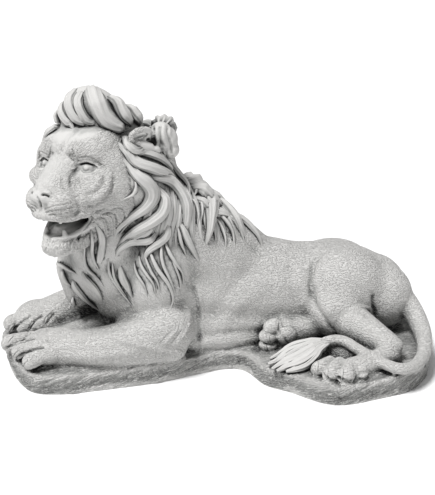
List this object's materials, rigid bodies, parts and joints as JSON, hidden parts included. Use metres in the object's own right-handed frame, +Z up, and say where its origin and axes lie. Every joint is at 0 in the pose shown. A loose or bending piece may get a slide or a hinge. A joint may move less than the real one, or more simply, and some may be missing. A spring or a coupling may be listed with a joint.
{
  "type": "recumbent lion statue",
  "caption": "Reclining maned lion on a thin irregular rock base, head turned to one side with the mouth open, forelegs stretched forward and tail curled round a hind foot.",
  "frame": {"origin": "centre of the bounding box in plan, on the ground under the base", "axes": "+X runs from the lion's forepaws to its rump, so the lion lies along -X; +Z up; the side meant to be seen, with the turned head and both visible hind feet, is -Y"},
  "size_m": [0.7283, 0.3859, 0.4935],
  "materials": {
    "cast_stone": null
  },
  "bodies": {
    "root": {"lion": "cast_stone"}
  },
  "joints": []
}
